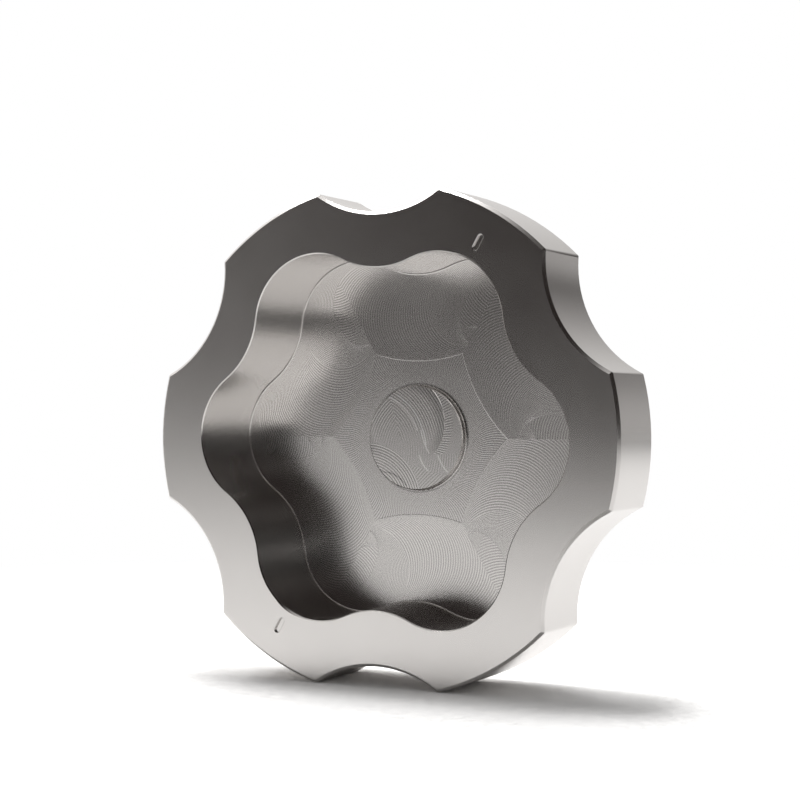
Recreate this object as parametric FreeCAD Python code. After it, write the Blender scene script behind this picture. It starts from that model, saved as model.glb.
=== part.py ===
"""Push-on cap for a power steering reservoir, milled from one aluminium blank.

Outside it is a knob with six lobes and six finger scallops. The underside has a
deep socket with six rounded lobes, which goes over the lobed plastic cap of the
reservoir. Two opposite lobes of the socket are shallower, and a short slot in
the rim marks each of them.

Lengths are in millimetres and angles in degrees. The cap is drawn flat: its
axis is Z, its back is at Z = 0 and the socket's mouth is on top. It is then
stood on two tips of its rim, with the mouth towards -Y.
"""

import FreeCAD
import Part
import math
import os

# Socket: its walls are tangent arcs, six lobes joined by six bulges
LOBE_COUNT = 6
socket_depth = 13.0
lobe_radius = 9.75
lobe_pitch_radius = 18.3
bulge_radius = 12.0
marked_lobe_setback = 0.55
plain_lobe_lean = 0.9
socket_floor_corner = 0.2
socket_mouth_break = 0.15

# Walls round the socket
rim_wall = 6.95
floor_thickness = 3.0

# Grip on the outside
scallop_depth = 4.1
scallop_radius = 16.4
face_chamfer = 0.4
back_chamfer = 4.0
ridge_break = 0.5

# Round pad in the middle of the socket floor
boss_radius = 7.4
boss_height = 1.0
boss_edge_break = 0.15
boss_corner = 0.2

# Index slots and crown facets at the two marked lobes
slot_length = 2.3
slot_width = 0.8
slot_depth = 0.3
slot_gap = 1.5
crown_facet_width = 0.3
crown_facet_radius = 6.8

# Cutters run past the faces that they cut by this much
overrun = 1.0

# Sizes that follow from the ones above
lobe_step = 360.0 / LOBE_COUNT
marked_angles = (lobe_step, lobe_step + 180.0)
marked_pitch_radius = lobe_pitch_radius - marked_lobe_setback
marked_crown_radius = marked_pitch_radius + lobe_radius
grip_radius = lobe_pitch_radius + lobe_radius + rim_wall
cap_depth = socket_depth + floor_thickness
scallop_centre_radius = grip_radius - scallop_depth + scallop_radius

Z_AXIS = FreeCAD.Vector(0, 0, 1)


def polar(radius, angle, height=0.0):
    """Point at a radius and an angle about the cap's axis."""
    turn = math.radians(angle)
    return FreeCAD.Vector(radius * math.cos(turn), radius * math.sin(turn), height)


def turned(section, seam_angle):
    """Solid of revolution about Z from (radius, height) points, its seam at an angle."""
    points = [FreeCAD.Vector(radius, 0, height) for radius, height in section]
    face = Part.Face(Part.makePolygon(points + points[:1]))
    solid = face.revolve(FreeCAD.Vector(), Z_AXIS, 360)
    solid.rotate(FreeCAD.Vector(), Z_AXIS, seam_angle)
    return solid


def flat_face(body, height):
    """Largest flat face of the body that lies at a height and is level."""
    level = [
        face
        for face in body.Faces
        if face.BoundBox.ZLength < 1e-6 and abs(face.BoundBox.ZMin - height) < 1e-6
    ]
    return max(level, key=lambda face: face.Area)


def inner_edges(face):
    """Edges of the one closed line that lies inside a face's outline."""
    return [wire for wire in face.Wires if not wire.isSame(face.OuterWire)][0].Edges


def is_upright(edge):
    """True for a straight edge along Z."""
    box = edge.BoundBox
    return box.ZLength > 1e-3 and box.DiagonalLength - box.ZLength < 1e-3


def knob():
    """Disc with six scallops, chamfered all round at the back and at the rim."""
    disc = turned(
        [
            (0, 0),
            (grip_radius - back_chamfer, 0),
            (grip_radius, back_chamfer),
            (grip_radius, cap_depth),
            (0, cap_depth),
        ],
        lobe_step / 2,
    )
    flared_cutter = [
        (0, -overrun),
        (scallop_radius + back_chamfer + overrun, -overrun),
        (scallop_radius, back_chamfer),
        (scallop_radius, cap_depth + overrun),
        (0, cap_depth + overrun),
    ]
    cutters = []
    for index in range(LOBE_COUNT):
        angle = (index + 0.5) * lobe_step
        cutter = turned(flared_cutter, angle)
        cutter.translate(polar(scallop_centre_radius, angle))
        cutters.append(cutter)
    body = disc.cut(cutters)
    body = body.makeFillet(ridge_break, [edge for edge in body.Edges if is_upright(edge)])
    rim = flat_face(body, cap_depth)
    return body.makeChamfer(face_chamfer, rim.OuterWire.Edges)


def lobe_centres():
    """Centres of the socket's lobes, the second and fifth being the marked ones."""
    centres = []
    for half_turn in (0.0, 180.0):
        centres.append(polar(lobe_pitch_radius, half_turn - plain_lobe_lean))
        centres.append(polar(marked_pitch_radius, half_turn + lobe_step))
        centres.append(polar(lobe_pitch_radius, half_turn + 2 * lobe_step + plain_lobe_lean))
    return centres


def bulge_between(first, second):
    """Centre of the arc that touches two lobes, and its two points of contact."""
    reach = lobe_radius + bulge_radius
    chord = second - first
    outward = chord.cross(Z_AXIS).normalize()
    centre = (first + second) / 2 + outward * math.sqrt(reach**2 - (chord.Length / 2) ** 2)
    share = lobe_radius / reach
    return centre, first + (centre - first) * share, second + (centre - second) * share


def socket_outline():
    """Closed wire of the socket wall at Z = 0."""
    centres = lobe_centres()
    bulges = [
        bulge_between(centre, centres[(index + 1) % LOBE_COUNT])
        for index, centre in enumerate(centres)
    ]
    edges = []
    for index, centre in enumerate(centres):
        bulge_centre, leave, arrive = bulges[index]
        entry = bulges[index - 1][2]
        crown = centre + FreeCAD.Vector(centre).normalize() * lobe_radius
        belly = bulge_centre + ((leave + arrive) / 2 - bulge_centre).normalize() * bulge_radius
        edges.append(Part.Arc(entry, crown, leave).toShape())
        edges.append(Part.Arc(leave, belly, arrive).toShape())
    return Part.Wire(edges)


def socket_cutter():
    """Space of the socket up to its mouth, with the corner along its floor rounded."""
    wall = Part.Face(socket_outline()).extrude(Z_AXIS * (socket_depth + overrun))
    floor_edges = flat_face(wall, 0.0).Edges
    space = wall.makeFillet(socket_floor_corner, floor_edges)
    space.translate(Z_AXIS * floor_thickness)
    return space


def break_mouth(body):
    """Small chamfer round the mouth of the socket."""
    rim = flat_face(body, cap_depth)
    return body.makeChamfer(socket_mouth_break, inner_edges(rim))


def with_boss(body):
    """Round pad added to the socket floor, its top edge broken and its foot rounded."""
    pad = Part.makeCylinder(boss_radius, boss_height + floor_thickness / 2)
    pad.translate(Z_AXIS * (floor_thickness / 2))
    body = body.fuse(pad).removeSplitter()
    floor = flat_face(body, floor_thickness)
    body = body.makeFillet(boss_corner, inner_edges(floor))
    top = flat_face(body, floor_thickness + boss_height)
    return body.makeChamfer(min(boss_edge_break, boss_height / 4), top.Edges)


def index_slot(angle):
    """Round-ended slot along a radius of the rim, at a marked lobe."""
    middle = marked_crown_radius + slot_gap + slot_length / 2
    half_run = (slot_length - slot_width) / 2
    half_width = slot_width / 2
    low = middle - half_run
    high = middle + half_run
    corner = [
        FreeCAD.Vector(low, half_width, 0),
        FreeCAD.Vector(low, -half_width, 0),
        FreeCAD.Vector(high, -half_width, 0),
        FreeCAD.Vector(high, half_width, 0),
    ]
    inner_end = Part.Arc(corner[0], FreeCAD.Vector(low - half_width, 0, 0), corner[1])
    outer_end = Part.Arc(corner[2], FreeCAD.Vector(high + half_width, 0, 0), corner[3])
    outline = Part.Wire(
        [
            inner_end.toShape(),
            Part.LineSegment(corner[1], corner[2]).toShape(),
            outer_end.toShape(),
            Part.LineSegment(corner[3], corner[0]).toShape(),
        ]
    )
    slot = Part.Face(outline).extrude(Z_AXIS * (slot_depth + overrun))
    slot.translate(Z_AXIS * (cap_depth - slot_depth))
    slot.rotate(FreeCAD.Vector(), Z_AXIS, angle)
    return slot


def crown_facet(angle):
    """Shallow cone that bevels the mouth at the crown of a marked lobe."""
    depth = 2 * crown_facet_width
    centre = marked_crown_radius + crown_facet_width - crown_facet_radius
    return Part.makeCone(
        crown_facet_radius - depth,
        crown_facet_radius + overrun,
        depth + overrun,
        polar(centre, angle, cap_depth - depth),
    )


def axis_height():
    """Height of the axis when the cap stands on the broken ridges beside a scallop."""
    to_axis = grip_radius - ridge_break
    to_scallop = scallop_radius + ridge_break
    span = scallop_centre_radius
    return ridge_break + (to_axis**2 + span**2 - to_scallop**2) / (2 * span)


def cap():
    """The whole cap, standing on edge, centred over the origin."""
    body = break_mouth(knob().cut(socket_cutter()))
    body = with_boss(body)
    marks = [make(angle) for angle in marked_angles for make in (index_slot, crown_facet)]
    body = body.cut(marks)
    body.rotate(FreeCAD.Vector(), FreeCAD.Vector(1, 0, 0), 90)
    body.translate(FreeCAD.Vector(0, cap_depth / 2, axis_height()))
    return body.Solids[0]


def main():
    """Build the cap and write it out."""
    os.makedirs("parts", exist_ok=True)
    cap().exportStep("parts/cap.step")


main()
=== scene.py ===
"""Looks of the milled aluminium cap: one satin metal with its tool marks, on a white studio table."""

import math

import bpy
from mathutils import Euler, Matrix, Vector


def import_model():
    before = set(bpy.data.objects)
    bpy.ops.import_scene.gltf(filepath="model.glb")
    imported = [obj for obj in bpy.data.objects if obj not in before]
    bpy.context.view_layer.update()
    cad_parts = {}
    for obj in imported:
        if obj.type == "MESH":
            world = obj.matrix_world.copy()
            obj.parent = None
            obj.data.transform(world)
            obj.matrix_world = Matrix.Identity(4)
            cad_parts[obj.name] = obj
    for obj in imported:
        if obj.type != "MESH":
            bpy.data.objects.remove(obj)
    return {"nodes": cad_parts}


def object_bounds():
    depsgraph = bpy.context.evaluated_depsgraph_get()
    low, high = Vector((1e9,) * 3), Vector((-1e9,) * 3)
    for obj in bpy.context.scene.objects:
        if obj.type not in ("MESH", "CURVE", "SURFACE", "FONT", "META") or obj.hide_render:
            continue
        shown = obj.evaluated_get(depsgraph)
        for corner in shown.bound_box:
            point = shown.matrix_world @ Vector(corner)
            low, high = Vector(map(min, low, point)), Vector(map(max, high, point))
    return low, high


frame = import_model()
cad_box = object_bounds()

MM = 0.001

# Sizes of the cap that its finish follows, in metres
AXIS_HEIGHT = cad_box[1][2] / 2
RIM_Y = cad_box[0][1]
BACK_Y = cad_box[1][1]

# Lengths from here to the metal's colour are in millimetres, from the cap's axis and from its rim
FLOOR_DEPTH = 13.0
BOSS_DEPTH = 12.0
BOSS_RADIUS = 7.4
BOSS_FOOT = 7.68
BULGE_RADIUS = 12.0
BULGE_CENTRE = 35.3
LOBE_RADIUS = 9.75
LOBE_CENTRE = 18.3
SECTOR = math.pi / 3
FACE_TOLERANCE = 0.02

# End mill that finished the socket floor, and the marks that it left
TOOL_RADIUS = 6.2
MARKS_ON_BULGE = 42
MARKS_ON_LOBE = 27
MARK_SPACING = 0.38
MARK_HEIGHT = 0.0009
# The marks are bumped, and their light and dark stripes are also painted into the colour as painted
# light and shade
MARK_SHADE = 0.25
UNEVEN = 0.5
UNEVEN_SCALE = 0.25

# Dished band along the wall, the step down from it to the hexagon round the pad, which is worn away
# on the left and has a painted highlight along its edge, and a line of painted shade round the pad's
# foot, which fades between two distances from it
BAND_DISH = 0.06
HEXAGON_DEPTH = 0.006
STEP_WIDTH = 0.12
STEP_SHINE = 0.08
STEP_FADE = (-8.0, -5.0)
FOOT_LINE = (0.05, 0.22)
FOOT_SHADE = 0.35

# Round pad: centres of the arcs that its patches of marks follow
CORNER_ARCS = (-7.6, -9.4)
LEFT_ARCS = (2.1, -2.1)
MIDDLE_ARCS = (-7.5, -1.9)
LOWER_ARCS = (12.0, -16.0)
FAN_CENTRE = (-4.0, 0.0)
FAN_REACH = 10.0

# Edges of the patches: a slope and a level for a straight one, a radius for the round one
LEFT_EDGE = (0.3, -2.4)
LOWER_EDGE = (0.25, -4.0)
CORNER_EDGE = (0.75, -2.0)
CORNER_RADIUS = 8.6

# Strength of the patches, which is even at the top and cloudy below
PATCH_SCALE = 0.4
PATCH_DETAIL = 1.0
PATCH_WARP = 0.12
PATCH_CLOUDS = (-0.25, 0.2)
CLOUD_STRENGTH = 0.3
LEAST_STRENGTH = 0.1
TOP_STRENGTH = 0.45
TOP_FADE = (0.0, 2.5)
LOWER_STRENGTH = 0.5

# Crescent on the pad's right, which a round pass left standing, and the dip inside its edge, which is
# bumped down and darkened with painted shade
CRESCENT_CENTRE = (-1.9, 2.2)
CRESCENT_REACH = 6.5
CRESCENT_BOTTOM = -2.2
CRESCENT_WIDTH = 1.6
CRESCENT_FADE = 0.8
DIP_SLOPE = (-1.9, -0.1)
DIP_EDGE = 0.1
DIP_FADE = (-2.8, 0.5)
DIP_DEPTH = 0.014
DIP_SHADE = 0.25

# Thin scratched arcs on the pad, drawn only in the colour: painted highlights along the light ones
# and painted shade along the dark one. Each has a centre, a radius, and the heights between which it
# runs.
# They fade between two distances from their middle line
HIGHLIGHT_ARCS = [
    ((5.0, -1.3), 4.5, -4.7, -2.4),
    ((8.5, -0.9), 5.16, -4.8, -2.4),
    ((-7.5, -1.9), 8.3, 1.0, 6.6),
    ((-7.5, -1.9), 9.2, -1.0, 6.0),
    ((9.0, 2.4), 8.2, -2.2, 1.2),
]
SHADE_ARC = ((-5.1, -9.4), 4.5, -6.8, -4.9)
ARC_LINE = (0.05, 0.16)
ARC_SHADE = 0.4
# Painted light and shade of the pad's tool marks, on top of their bump
BOSS_SHADE = 0.42

# Index slots in the rim: run of their middle line along a radius, and their broken edge
SLOT_ANGLE = math.pi / 3
SLOT_MIDDLE = 30.15
SLOT_HALF_RUN = 0.75
SLOT_HALF_WIDTH = 0.4
SLOT_BREAK = 0.05

# Fine texture: grain of the rim, streaks drawn out along the walls, and turned rings on the back
GRAIN_SCALE = 3.5
GRAIN_HEIGHT = 0.0005
GRAIN_UNDER_MARKS = 0.4
STREAK_SCALE = 2.5
STREAK_HEIGHT = 0.0006
STREAK_SQUEEZE = (1.0, 0.06, 1.0)
RING_SPACING = 0.22
RING_HEIGHT = MARK_HEIGHT / 2

METAL_COLOUR = (0.705, 0.686, 0.670)
ROUGHNESS = 0.21
MILLED_ROUGHNESS = 0.265
ROUGHNESS_SPREAD = 0.02
ROUGHNESS_SCALE = 0.12

# Camera of the photograph: metres, degrees, and millimetres of lens and sensor
CAMERA_PLACE = (0.11443, -0.22571, 0.03802)
CAMERA_YAW = 26.970
CAMERA_PITCH = 0.230
CAMERA_ROLL = 0.204
CAMERA_NEAR = 0.01
LENS = 81.6
SENSOR = 36.0

# Room that only the metal shows: a wide window whose light falls off from its middle
WINDOW_AT = (-50, 42)
WINDOW_EDGE = 0.2
WINDOW_LEVEL = 1.1
WINDOW_FALL = 1.5
WINDOW_COLOUR = (1.0, 0.985, 0.97, 1)

# Smaller glows: azimuth and elevation, cosines at the edge and at full strength, and strength
GLOWS = {
    "wall on the left": ((-108, 8), (0.68, 0.94), 0.30),
    "screen in front": ((152, 38), (0.975, 0.99), 0.12),
    "wall behind": ((20, -6), (0.945, 0.99), 0.42),
    "ceiling": ((0, 90), (0.955, 1.0), 0.55),
}
ROOM_COLOUR = (0.0245, 0.0195, 0.018, 1)
AMBIENT = (0.19, 0.19, 0.19, 1)
WHITE = (1, 1, 1, 1)

# White table in metres, which fades to plain white away from the cap
TABLE_COLOUR = (0.94, 0.93, 0.92, 1)
TABLE_SEEN = (1.32, 1.31, 1.30)
TABLE_FADE = (0.07, 0.2)
PAPER_GRAIN = 0.25
PAPER_SCALE = 700.0
PAPER_DETAIL = 3.0
TABLE_OUTLINE = [
    (-2.0, 1.8, 0),
    (-2.0, -2.6, 0),
    (-1.1, -1.8, 0),
    (-0.14, -0.40, 0),
    (1.5, -0.40, 0),
    (1.5, 1.8, 0),
]

# Dark card in front on the right
CARD_AZIMUTH = 151
CARD_REACH = 0.20
CARD_WIDTH = 0.075
CARD_HEIGHT = 0.1
CARD_COLOUR = (0.03, 0.03, 0.03, 1)

# Lamps over the table: place and size in metres, power in watts
LAMPS = {
    "window": ((-0.40, 0.28, 0.80), (0.60, 0.50), 3.9),
    "above": ((-0.14, 0.10, 0.90), (0.18, 0.18), 2.9),
    "left": ((-0.30, 0.20, 0.90), (0.40, 0.36), 1.9),
    "behind": ((0.04, 0.38, 0.85), (0.35, 0.35), 0.9),
}

# Sockets of the node that mixes two colours
MIX_SHARE, MIX_FIRST, MIX_SECOND, MIX_RESULT = 0, 6, 7, 2


def new_material(name):
    """Empty node material and its tree."""
    material = bpy.data.materials.new(name)
    material.use_nodes = True
    material.node_tree.nodes.clear()
    return material, material.node_tree


def add(tree, kind, **settings):
    """New node with its operation and other settings."""
    node = tree.nodes.new(kind)
    for name, value in settings.items():
        setattr(node, name, value)
    return node


class Field:
    """A number that varies from point to point. Arithmetic with it adds math nodes."""

    def __init__(self, tree, socket):
        self.tree = tree
        self.socket = socket

    def do(self, operation, *others):
        """Result of one math node, with this field as its first input."""
        node = add(self.tree, "ShaderNodeMath", operation=operation)
        for slot, value in zip(node.inputs, (self,) + others):
            if isinstance(value, Field):
                self.tree.links.new(value.socket, slot)
            else:
                slot.default_value = value
        return Field(self.tree, node.outputs[0])

    def __add__(self, other):
        return self.do("ADD", other)

    def __sub__(self, other):
        return self.do("SUBTRACT", other)

    def __rsub__(self, other):
        return (self * -1.0) + other

    def __mul__(self, other):
        return self.do("MULTIPLY", other)

    def __truediv__(self, other):
        return self.do("DIVIDE", other)

    def smooth(self, low, high):
        """0 up to low, 1 from high, and a smooth rise between."""
        node = add(self.tree, "ShaderNodeMapRange", interpolation_type="SMOOTHSTEP")
        self.tree.links.new(self.socket, node.inputs["Value"])
        for name, number in (("From Min", low), ("From Max", high), ("To Min", 0.0), ("To Max", 1.0)):
            node.inputs[name].default_value = number
        return Field(self.tree, node.outputs[0])

    def between(self, low, high):
        """1 inside a range and 0 outside it."""
        return self.do("GREATER_THAN", low) * self.do("LESS_THAN", high)

    def near(self, level):
        """1 within a small tolerance of a level and 0 elsewhere."""
        return self.between(level - FACE_TOLERANCE, level + FACE_TOLERANCE)


def either(mask, inside, outside):
    """One field where the mask is 1, and the other where it is 0."""
    return (inside - outside) * mask + outside


def below(first, second, edge):
    """1 on the lower side of a straight edge, which has a slope and a level."""
    slope, level = edge
    return (first + second * slope).do("LESS_THAN", level)


def distance(x, y, centre=(0.0, 0.0)):
    """Distance in a plane from a centre, or else from the plane's origin."""
    across, up = x - centre[0], y - centre[1]
    return (across * across + up * up).do("SQRT")


def wave(length, spacing=1.0):
    """Even marks along a length, from -1 to 1."""
    return (length * (2 * math.pi / spacing)).do("SINE")


def noise(tree, vector, scale, detail=2.0):
    """Noise from -1 to 1, its scale in features to one unit of the vector."""
    node = add(tree, "ShaderNodeTexNoise")
    tree.links.new(vector, node.inputs["Vector"])
    node.inputs["Scale"].default_value = scale
    node.inputs["Detail"].default_value = detail
    return Field(tree, node.outputs[0]) * 2.0 - 1.0


def mill_turn(reach, path_radius):
    """Angle about a path's centre between a point and the tool whose edge is on it.

    Its cosine comes first, because it is above 1 where no tool on the path reaches the point.
    """
    cosine = (reach * reach + (path_radius**2 - TOOL_RADIUS**2)) / (reach * (2 * path_radius))
    return cosine, cosine.do("MINIMUM", 1.0).do("MAXIMUM", -1.0).do("ARCCOSINE")


def wall_pass(x, y):
    """Marks of the tool's pass along the socket wall, and its distance past the pass.

    The socket is folded into one sector, a bulge with half a lobe at either end. The marks are
    counted along the path, so they run on from the bulge to both lobes. The tool goes from the lobe
    on side 1 to the lobe on side -1, and its last marks are the ones that stay.
    """
    radius = distance(x, y)
    turn = y.do("ARCTAN2", x) - SECTOR / 2
    fold = turn - (turn / SECTOR).do("ROUND") * SECTOR
    along, aside = radius * fold.do("COSINE"), radius * fold.do("SINE")
    bulge_path = BULGE_RADIUS + TOOL_RADIUS
    lobe_path = LOBE_RADIUS - TOOL_RADIUS
    lobe_x, lobe_y = LOBE_CENTRE * math.cos(SECTOR / 2), LOBE_CENTRE * math.sin(SECTOR / 2)
    bulge_half = math.atan2(lobe_y, BULGE_CENTRE - lobe_x)
    lobe_half = bulge_half + SECTOR / 2
    bulge_rate = MARKS_ON_BULGE / (2 * bulge_half)
    lobe_rate = MARKS_ON_LOBE / (2 * lobe_half)

    to_axis = BULGE_CENTRE - along
    reach = distance(to_axis, aside)
    bulge_turn = aside.do("ARCTAN2", to_axis) - mill_turn(reach, bulge_path)[1]
    count = bulge_turn * -bulge_rate
    for side in (1, -1):
        out_x, out_y = along - lobe_x, aside - side * lobe_y
        cosine, lag = mill_turn(distance(out_x, out_y), lobe_path)
        lean_sine, lean_cosine = math.sin(side * SECTOR / 2), math.cos(side * SECTOR / 2)
        ahead = out_y * lean_cosine - out_x * lean_sine
        beside = out_x * -lean_cosine - out_y * lean_sine
        lobe_turn = beside.do("ARCTAN2", ahead) + math.pi / 2 - lag
        start = -side * bulge_rate * bulge_half
        lobe_count = (lobe_turn + side * lobe_half) * -lobe_rate + start
        if side == 1:
            chosen = bulge_turn.do("GREATER_THAN", bulge_half)
        else:
            chosen = cosine.do("LESS_THAN", 1.0) * lobe_turn.between(-lobe_half, lobe_half)
        count = either(chosen, lobe_count, count)
    return wave(count), reach - (bulge_path + TOOL_RADIUS)


def ring_pass(x, y, path_radius):
    """Marks of a pass on a circle about the cap's axis."""
    lag = mill_turn(distance(x, y), path_radius)[1]
    return wave((y.do("ARCTAN2", x) - lag) * -path_radius, MARK_SPACING)


def floor_finish(x, y, uneven):
    """Height, and painted light and shade, of the socket floor: the pass along the wall and the one
    round the pad.
    """
    marks, past = wall_pass(x, y)
    inner = ring_pass(x, y, BOSS_RADIUS + TOOL_RADIUS)
    hexagon = past.smooth(-STEP_WIDTH / 2, STEP_WIDTH / 2)
    crisp = x.smooth(*STEP_FADE)
    # Painted highlight along the step's edge. This product is a quarter in the middle of the step,
    # and the 4 makes it 1 there
    edge = hexagon * (1.0 - hexagon) * crisp * 4.0
    marks = either(hexagon, inner, marks) * uneven
    across = past / TOOL_RADIUS + 1.0
    dish = (across * across - 1.0) * (1.0 - hexagon) * BAND_DISH
    # Painted shade: a dark line in the corner round the pad's foot
    foot = 1.0 - (distance(x, y) - BOSS_FOOT).do("ABSOLUTE").smooth(*FOOT_LINE)
    height = marks * MARK_HEIGHT - hexagon * crisp * HEXAGON_DEPTH + dish
    return height, marks * MARK_SHADE + edge * STEP_SHINE - foot * FOOT_SHADE


def scratch(x, y, centre, reach, low, high):
    """1 on a thin arc about a centre, between two heights."""
    off_line = (distance(x, y, centre) - reach).do("ABSOLUTE")
    return (1.0 - off_line.smooth(*ARC_LINE)) * y.between(low, high)


def patch_marks(x, y, clouds):
    """Marks on the round pad, which follow other arcs in each patch."""
    warp = clouds * PATCH_WARP
    corner = wave(distance(x, y, CORNER_ARCS), MARK_SPACING)
    left = wave(distance(x, y, LEFT_ARCS) + warp, MARK_SPACING)
    middle = wave(distance(x, y, MIDDLE_ARCS) + warp, MARK_SPACING)
    lower = wave(distance(x, y, LOWER_ARCS) + warp, MARK_SPACING)
    cloudy = clouds.smooth(*PATCH_CLOUDS) * CLOUD_STRENGTH + LEAST_STRENGTH
    strength = y.smooth(*TOP_FADE) * TOP_STRENGTH + cloudy
    in_corner = distance(x, y, CORNER_ARCS).do("LESS_THAN", CORNER_RADIUS) * below(y, x, CORNER_EDGE)
    marks = either(below(x, y, LEFT_EDGE), left, middle) * strength
    marks = either(below(y, x, LOWER_EDGE), lower * LOWER_STRENGTH, marks)
    return either(in_corner, corner, marks)


def boss_finish(x, y, clouds, uneven):
    """Height and painted light and shade of the round pad: patches of marks, a crescent with a dip,
    and scratches.
    """
    step = distance(x, y, CRESCENT_CENTRE) - CRESCENT_REACH
    crescent = step.do("GREATER_THAN", 0.0) * y.do("GREATER_THAN", CRESCENT_BOTTOM)
    fan_turn = (y - FAN_CENTRE[1]).do("ARCTAN2", x - FAN_CENTRE[0])
    fan = wave(fan_turn * FAN_REACH, MARK_SPACING)
    fan = fan * (CRESCENT_WIDTH - step).smooth(0.0, CRESCENT_FADE)
    marks = either(crescent, fan, patch_marks(x, y, clouds)) * uneven
    # The dip is a bump, and DIP_SHADE darkens it as painted shade
    dip = step.smooth(*DIP_SLOPE) * (step * -1.0).smooth(0.0, DIP_EDGE) * y.smooth(*DIP_FADE)
    # Painted highlights along the light arcs, less painted shade along the dark one
    lines = scratch(x, y, *HIGHLIGHT_ARCS[0])
    for arc in HIGHLIGHT_ARCS[1:]:
        lines = lines + scratch(x, y, *arc)
    lines = lines - scratch(x, y, *SHADE_ARC)
    height = marks * MARK_HEIGHT - dip * DIP_DEPTH
    return height, marks * BOSS_SHADE + lines * ARC_SHADE - dip * DIP_SHADE


def slot_edges(x, y):
    """Dip of the rim along the broken edges of the two index slots."""
    cosine, sine = math.cos(SLOT_ANGLE), math.sin(SLOT_ANGLE)
    out = (x * cosine + y * sine).do("ABSOLUTE")
    off = y * cosine - x * sine
    past_end = ((out - SLOT_MIDDLE).do("ABSOLUTE") - SLOT_HALF_RUN).do("MAXIMUM", 0.0)
    from_slot = distance(past_end, off) - SLOT_HALF_WIDTH
    return (from_slot - SLOT_BREAK).do("MINIMUM", 0.0)


def metal():
    """Bare aluminium: milled socket floor and pad, satin rim, streaked walls, turned back."""
    material, tree = new_material("milled_aluminium")
    link = tree.links.new
    where = add(tree, "ShaderNodeTexCoord")
    scaled = add(tree, "ShaderNodeVectorMath", operation="SCALE")
    link(where.outputs["Object"], scaled.inputs[0])
    scaled.inputs["Scale"].default_value = 1 / MM
    point = scaled.outputs[0]
    split = add(tree, "ShaderNodeSeparateXYZ")
    link(point, split.inputs[0])
    x = Field(tree, split.outputs["X"])
    y = Field(tree, split.outputs["Z"]) - AXIS_HEIGHT / MM
    depth = Field(tree, split.outputs["Y"]) - RIM_Y / MM

    squeezed = add(tree, "ShaderNodeVectorMath", operation="MULTIPLY")
    link(point, squeezed.inputs[0])
    squeezed.inputs[1].default_value = STREAK_SQUEEZE
    streaks = noise(tree, squeezed.outputs[0], STREAK_SCALE) * STREAK_HEIGHT
    grain = noise(tree, point, GRAIN_SCALE) * GRAIN_HEIGHT
    uneven = noise(tree, point, UNEVEN_SCALE) * UNEVEN + 1.0
    clouds = noise(tree, point, PATCH_SCALE, PATCH_DETAIL)
    floor_height, floor_shade = floor_finish(x, y, uneven)
    boss_height, boss_shade = boss_finish(x, y, clouds, uneven)
    rings = wave(distance(x, y), RING_SPACING) * RING_HEIGHT

    # Faces are told apart by their depth from the rim
    on_floor = depth.near(FLOOR_DEPTH)
    on_boss = depth.near(BOSS_DEPTH) * distance(x, y).do("LESS_THAN", BOSS_RADIUS)
    on_back = depth.do("GREATER_THAN", (BACK_Y - RIM_Y) / MM - FACE_TOLERANCE)
    on_rim = depth.do("LESS_THAN", FACE_TOLERANCE)
    height = either(on_rim, grain + slot_edges(x, y), streaks)
    for face, finish in ((on_floor, floor_height), (on_boss, boss_height), (on_back, rings)):
        height = either(face, finish + grain * GRAIN_UNDER_MARKS, height)
    bump = add(tree, "ShaderNodeBump")
    bump.inputs["Distance"].default_value = MM
    link(height.socket, bump.inputs["Height"])

    spread = noise(tree, point, ROUGHNESS_SCALE) * ROUGHNESS_SPREAD
    rough = either(on_floor + on_boss, spread + MILLED_ROUGHNESS, spread + ROUGHNESS)
    # Painted light and shade of the floor and pad: the marks, the step's edge, the pad's foot, the
    # dip and the arcs
    shade = on_floor * floor_shade + on_boss * boss_shade
    tint = add(tree, "ShaderNodeVectorMath", operation="SCALE")
    tint.inputs[0].default_value = METAL_COLOUR
    link((shade + 1.0).socket, tint.inputs["Scale"])

    shader = add(tree, "ShaderNodeBsdfPrincipled")
    link(tint.outputs[0], shader.inputs["Base Color"])
    shader.inputs["Metallic"].default_value = 1.0
    link(rough.socket, shader.inputs["Roughness"])
    link(bump.outputs[0], shader.inputs["Normal"])
    link(shader.outputs[0], add(tree, "ShaderNodeOutputMaterial").inputs[0])
    return material


def direction(azimuth, elevation):
    """Unit vector; azimuth is measured from +Y towards +X."""
    turn, lift = math.radians(azimuth), math.radians(elevation)
    return (math.sin(turn) * math.cos(lift), math.cos(turn) * math.cos(lift), math.sin(lift))


def background(tree, colour):
    """Plain light of one colour from all round."""
    node = add(tree, "ShaderNodeBackground")
    node.inputs["Color"].default_value = colour
    return node


def room_light(tree):
    """What the metal shows: a dark room with a wide window, three softer glows and a ceiling."""
    link = tree.links.new
    where = add(tree, "ShaderNodeTexCoord")

    def facing(azimuth, elevation):
        """Cosine of the angle between a ray and a direction."""
        near = add(tree, "ShaderNodeVectorMath", operation="DOT_PRODUCT")
        link(where.outputs["Generated"], near.inputs[0])
        near.inputs[1].default_value = direction(azimuth, elevation)
        return Field(tree, near.outputs["Value"])

    past_edge = ((facing(*WINDOW_AT) - WINDOW_EDGE) / (1.0 - WINDOW_EDGE)).do("MAXIMUM", 0.0)
    level = past_edge.do("POWER", WINDOW_FALL) * WINDOW_LEVEL
    for place, cosines, strength in GLOWS.values():
        level = level + facing(*place).smooth(*cosines) * strength
    lit = background(tree, WINDOW_COLOUR)
    link(level.socket, lit.inputs["Strength"])
    both = add(tree, "ShaderNodeAddShader")
    link(background(tree, ROOM_COLOUR).outputs[0], both.inputs[0])
    link(lit.outputs[0], both.inputs[1])
    return both


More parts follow.
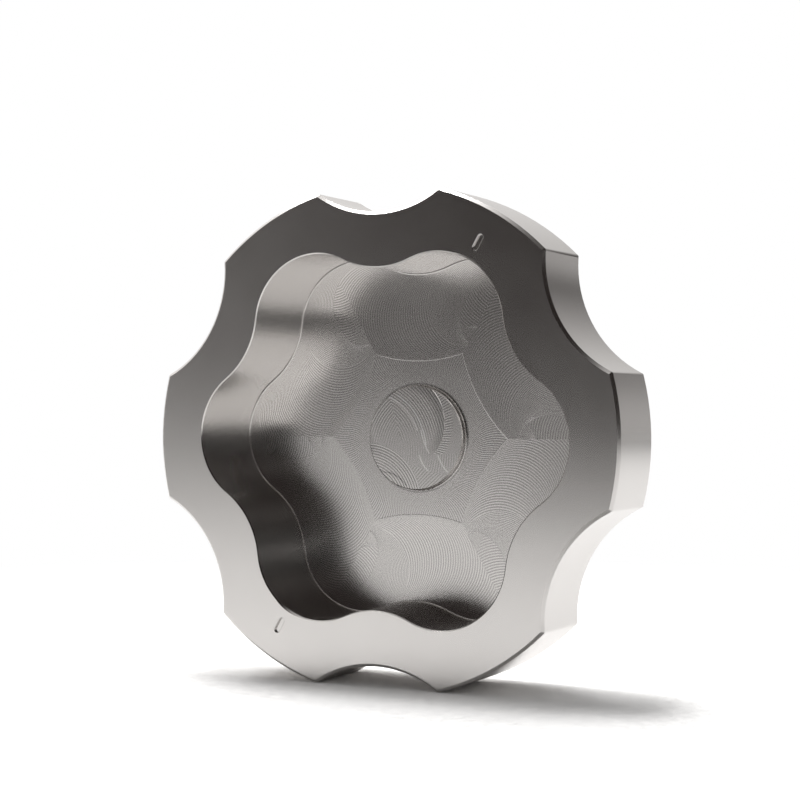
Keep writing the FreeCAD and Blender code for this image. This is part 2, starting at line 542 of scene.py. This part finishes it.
def world():
    """White for the camera, the room for what the metal shows, and a faint light on all else."""
    scene = bpy.context.scene
    scene.world = bpy.data.worlds.new("studio")
    scene.world.use_nodes = True
    tree = scene.world.node_tree
    tree.nodes.clear()
    link = tree.links.new
    path = add(tree, "ShaderNodeLightPath")
    shiny = add(tree, "ShaderNodeMixShader")
    link(path.outputs["Is Glossy Ray"], shiny.inputs[0])
    link(background(tree, AMBIENT).outputs[0], shiny.inputs[1])
    link(room_light(tree).outputs[0], shiny.inputs[2])
    seen = add(tree, "ShaderNodeMixShader")
    link(path.outputs["Is Camera Ray"], seen.inputs[0])
    link(shiny.outputs[0], seen.inputs[1])
    link(background(tree, WHITE).outputs[0], seen.inputs[2])
    link(seen.outputs[0], add(tree, "ShaderNodeOutputWorld").inputs[0])


def plane(name, corners, material):
    """Flat piece of the studio with one face."""
    mesh = bpy.data.meshes.new(name)
    mesh.from_pydata(corners, [], [tuple(range(len(corners)))])
    thing = bpy.data.objects.new(name, mesh)
    bpy.context.scene.collection.objects.link(thing)
    mesh.materials.append(material)
    return thing


def floor():
    """White table. It is brighter for the camera, and so runs into the background."""
    material, tree = new_material("white_table")
    link = tree.links.new
    path = add(tree, "ShaderNodeLightPath")
    where = add(tree, "ShaderNodeTexCoord")
    fibres = noise(tree, where.outputs["Object"], PAPER_SCALE, PAPER_DETAIL) * PAPER_GRAIN + 1.0
    tint = add(tree, "ShaderNodeVectorMath", operation="SCALE")
    tint.inputs[0].default_value = TABLE_SEEN
    link(fibres.socket, tint.inputs["Scale"])
    colour = add(tree, "ShaderNodeMix", data_type="RGBA")
    link(path.outputs["Is Camera Ray"], colour.inputs[MIX_SHARE])
    colour.inputs[MIX_FIRST].default_value = TABLE_COLOUR
    link(tint.outputs[0], colour.inputs[MIX_SECOND])
    shader = add(tree, "ShaderNodeBsdfDiffuse")
    link(colour.outputs[MIX_RESULT], shader.inputs[0])
    away = add(tree, "ShaderNodeVectorMath", operation="LENGTH")
    link(where.outputs["Object"], away.inputs[0])
    far = Field(tree, away.outputs["Value"]).smooth(*TABLE_FADE)
    share = far * Field(tree, path.outputs["Is Camera Ray"])
    mix = add(tree, "ShaderNodeMixShader")
    link(share.socket, mix.inputs[0])
    link(shader.outputs[0], mix.inputs[1])
    link(add(tree, "ShaderNodeEmission").outputs[0], mix.inputs[2])
    link(mix.outputs[0], add(tree, "ShaderNodeOutputMaterial").inputs[0])
    plane("table", TABLE_OUTLINE, material)


def dark_card():
    """Dark upright card in front on the right, which only the metal shows."""
    material, tree = new_material("dark_card")
    shader = add(tree, "ShaderNodeBsdfDiffuse")
    shader.inputs[0].default_value = CARD_COLOUR
    tree.links.new(shader.outputs[0], add(tree, "ShaderNodeOutputMaterial").inputs[0])
    middle = Vector(direction(CARD_AZIMUTH, 0)) * CARD_REACH
    side = Vector(direction(CARD_AZIMUTH + 90, 0)) * CARD_WIDTH / 2
    top = Vector((0, 0, CARD_HEIGHT))
    corners = [middle - side, middle + side, middle + side + top, middle - side + top]
    card = plane("card", corners, material)
    card.visible_camera = False
    card.visible_shadow = False
    card.visible_diffuse = False


def lamp(name, place, size, power):
    """Rectangular lamp aimed at the origin."""
    data = bpy.data.lights.new(name, "AREA")
    data.shape = "RECTANGLE"
    data.size, data.size_y = size
    data.energy = power
    thing = bpy.data.objects.new(name, data)
    thing.location = place
    thing.rotation_euler = (-Vector(place)).to_track_quat("-Z", "Y").to_euler()
    bpy.context.scene.collection.objects.link(thing)


def camera():
    """Camera with the place, turn and lens of the photograph."""
    data = bpy.data.cameras.new("camera")
    data.lens = LENS
    data.sensor_width = SENSOR
    data.clip_start = CAMERA_NEAR
    thing = bpy.data.objects.new("camera", data)
    thing.location = CAMERA_PLACE
    turn = Euler((math.radians(90 + CAMERA_PITCH), 0, math.radians(CAMERA_YAW)), "XYZ").to_matrix()
    roll = Euler((0, 0, math.radians(CAMERA_ROLL)), "XYZ").to_matrix()
    thing.rotation_euler = (turn @ roll).to_euler()
    bpy.context.scene.collection.objects.link(thing)
    bpy.context.scene.camera = thing


bpy.context.scene.view_settings.view_transform = "Standard"
cap = frame["nodes"]["cap"]
cap.data.materials.clear()
cap.data.materials.append(metal())
world()
floor()
dark_card()
for name, (place, size, power) in LAMPS.items():
    lamp(name, place, size, power)
camera()
